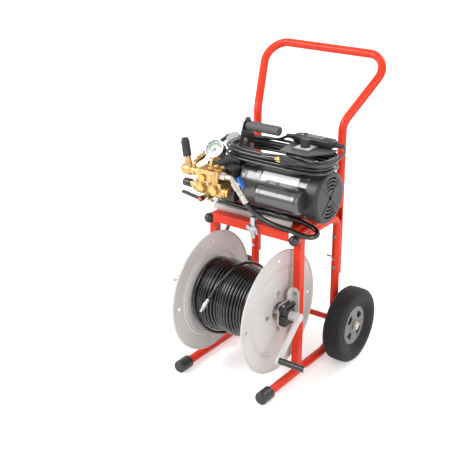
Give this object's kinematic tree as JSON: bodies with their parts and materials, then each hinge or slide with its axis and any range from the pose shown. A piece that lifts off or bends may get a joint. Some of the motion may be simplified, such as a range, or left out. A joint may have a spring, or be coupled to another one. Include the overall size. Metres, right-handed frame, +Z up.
{
  "type": "drain jetter",
  "caption": "Electric drain jetter on a red two-wheel tube cart: motor and brass pump on top, crank hose reel between the posts, coiled cord, gauge and push handle.",
  "frame": {"origin": "on the floor under the middle of the part's box, without its cords", "axes": "+X right along the axle and reel shaft, +Y from the reel to the push handle, +Z up"},
  "size_m": [0.5742, 0.691, 1],
  "materials": {
    "frame_red": "gloss powder coat",
    "steel": "satin",
    "cap_rubber": "matte",
    "reel_grey": "satin powder coat",
    "bearing_black": "matte",
    "zinc": "zinc plate",
    "base_grey": "satin",
    "motor_black": "gloss",
    "fan_plastic": "satin",
    "guard_black": "satin",
    "pump_black": "satin",
    "brass": "cast and machined",
    "plug_brass": "machined",
    "knob_black": "satin",
    "gauge_steel": "polished",
    "lens": "clear",
    "valve_nickel": "nickel plate",
    "hose_black": "satin",
    "grip_foam": "matte",
    "box_black": "satin",
    "plate_grey": "satin",
    "cord_black": "satin",
    "tyre": "matte",
    "hub_grey": "satin",
    "lever_blue": "gloss",
    "button_orange": "gloss",
    "needle_black": "matte"
  },
  "bodies": {
    "cart": {"side_frames": "frame_red", "push_handle": "frame_red", "frame_struts": "frame_red", "front_crossbar": "frame_red", "platform_tray": "frame_red", "axle": "steel", "tube_caps": "cap_rubber", "reel_brackets": "reel_grey", "bearing_blocks": "bearing_black", "zinc_hardware": "zinc", "latch_base": "zinc", "base_rails": "base_grey", "motor_base": "motor_black", "motor_shell": "motor_black", "drive_end_bell": "motor_black", "fan_cover": "fan_plastic", "capacitor_cover": "motor_black", "pump_guard": "guard_black", "crankcase": "pump_black", "pump_head": "brass", "head_plugs": "plug_brass", "pressure_regulator": "brass", "pulse_chamber": "knob_black", "brass_fittings": "brass", "gauge_case": "gauge_steel", "gauge_lens": "lens", "inlet_valve": "valve_nickel", "inlet_hose": "hose_black", "inlet_hose_end": "valve_nickel", "feed_hose": "hose_black", "reel_swivel": "plug_brass", "carry_bracket": "guard_black", "carry_grip": "grip_foam", "switch_box": "box_black", "switch_plate": "plate_grey", "power_cord": "cord_black", "ground_fault_box": "box_black", "plug_lead": "cord_black", "plug": "box_black"},
    "reel": {"reel_flanges": "reel_grey", "reel_drum": "steel", "flange_bolts": "zinc", "hose_core": "hose_black", "hose_winding": "hose_black", "hose_tip": "zinc", "crank_arm": "reel_grey"},
    "crank_grip": {"crank_grip": "knob_black"},
    "left_wheel": {"left_tyre": "tyre", "left_hub": "hub_grey"},
    "right_wheel": {"right_tyre": "tyre", "right_hub": "hub_grey"},
    "rotor": {"rotor": "steel"},
    "latch_wing": {"latch_wing": "zinc"},
    "latch_hook": {"latch_hook": "zinc"},
    "valve_lever": {"valve_lever": "lever_blue"},
    "regulator_knob": {"regulator_knob": "knob_black"},
    "pulse_lever": {"pulse_lever": "knob_black"},
    "pulse_button": {"pulse_button": "button_orange"},
    "switch_knob": {"switch_knob": "knob_black"},
    "gauge_needle": {"gauge_needle": "needle_black"}
  },
  "joints": [
    {"name": "reel_spin", "type": "hinge", "parent": "cart", "child": "reel", "pos_m": [-0.01615, -0.1425, 0.255], "axis": [1, 0, 0], "continuous": true},
    {"name": "crank_grip_spin", "type": "hinge", "parent": "reel", "child": "crank_grip", "pos_m": [0.23835, -0.25344, 0.15856], "axis": [1, 0, 0], "continuous": true},
    {"name": "left_wheel_spin", "type": "hinge", "parent": "cart", "child": "left_wheel", "pos_m": [-0.25315, 0.1256, 0.127], "axis": [1, 0, 0], "continuous": true},
    {"name": "right_wheel_spin", "type": "hinge", "parent": "cart", "child": "right_wheel", "pos_m": [0.22085, 0.1256, 0.127], "axis": [1, 0, 0], "continuous": true},
    {"name": "rotor_spin", "type": "hinge", "parent": "cart", "child": "rotor", "pos_m": [-0.03615, -0.04, 0.627], "axis": [1, 0, 0], "continuous": true},
    {"name": "latch_turn", "type": "hinge", "parent": "cart", "child": "latch_wing", "pos_m": [-0.00115, -0.1227, 0.4975], "axis": [0, -1, 0], "range_deg": [0, 180]},
    {"name": "latch_hook_slide", "type": "slide", "parent": "cart", "child": "latch_hook", "axis": [0, 0, 1], "range_m": [0, 0.01]},
    {"name": "valve_lever_turn", "type": "hinge", "parent": "cart", "child": "valve_lever", "pos_m": [-0.01354, -0.168, 0.66192], "axis": [0.771, 0, 0.6369], "range_deg": [0, 90]},
    {"name": "regulator_knob_turn", "type": "hinge", "parent": "cart", "child": "regulator_knob", "pos_m": [-0.21015, -0.17, 0.681], "axis": [-0.1564, 0, 0.9877], "range_deg": [-360, 360]},
    {"name": "pulse_lever_turn", "type": "hinge", "parent": "cart", "child": "pulse_lever", "pos_m": [-0.12915, -0.205, 0.601], "axis": [0, -1, 0], "range_deg": [0, 90]},
    {"name": "pulse_button_press", "type": "slide", "parent": "pulse_lever", "child": "pulse_button", "axis": [0, 1, 0], "range_m": [0, 0.002], "stiffness_N_per_m": 300},
    {"name": "switch_knob_turn", "type": "hinge", "parent": "cart", "child": "switch_knob", "pos_m": [0.12185, -0.022, 0.757], "axis": [0, 0, 1], "range_deg": [0, 90]},
    {"name": "gauge_needle_turn", "type": "hinge", "parent": "cart", "child": "gauge_needle", "pos_m": [-0.12215, -0.155, 0.749], "axis": [-0.092, 0.7491, -0.6561], "range_deg": [0, 270]}
  ],
  "couplings": [
    {"joint": "latch_turn", "follows": "latch_hook_slide", "rad_per_m": 314.16}
  ]
}
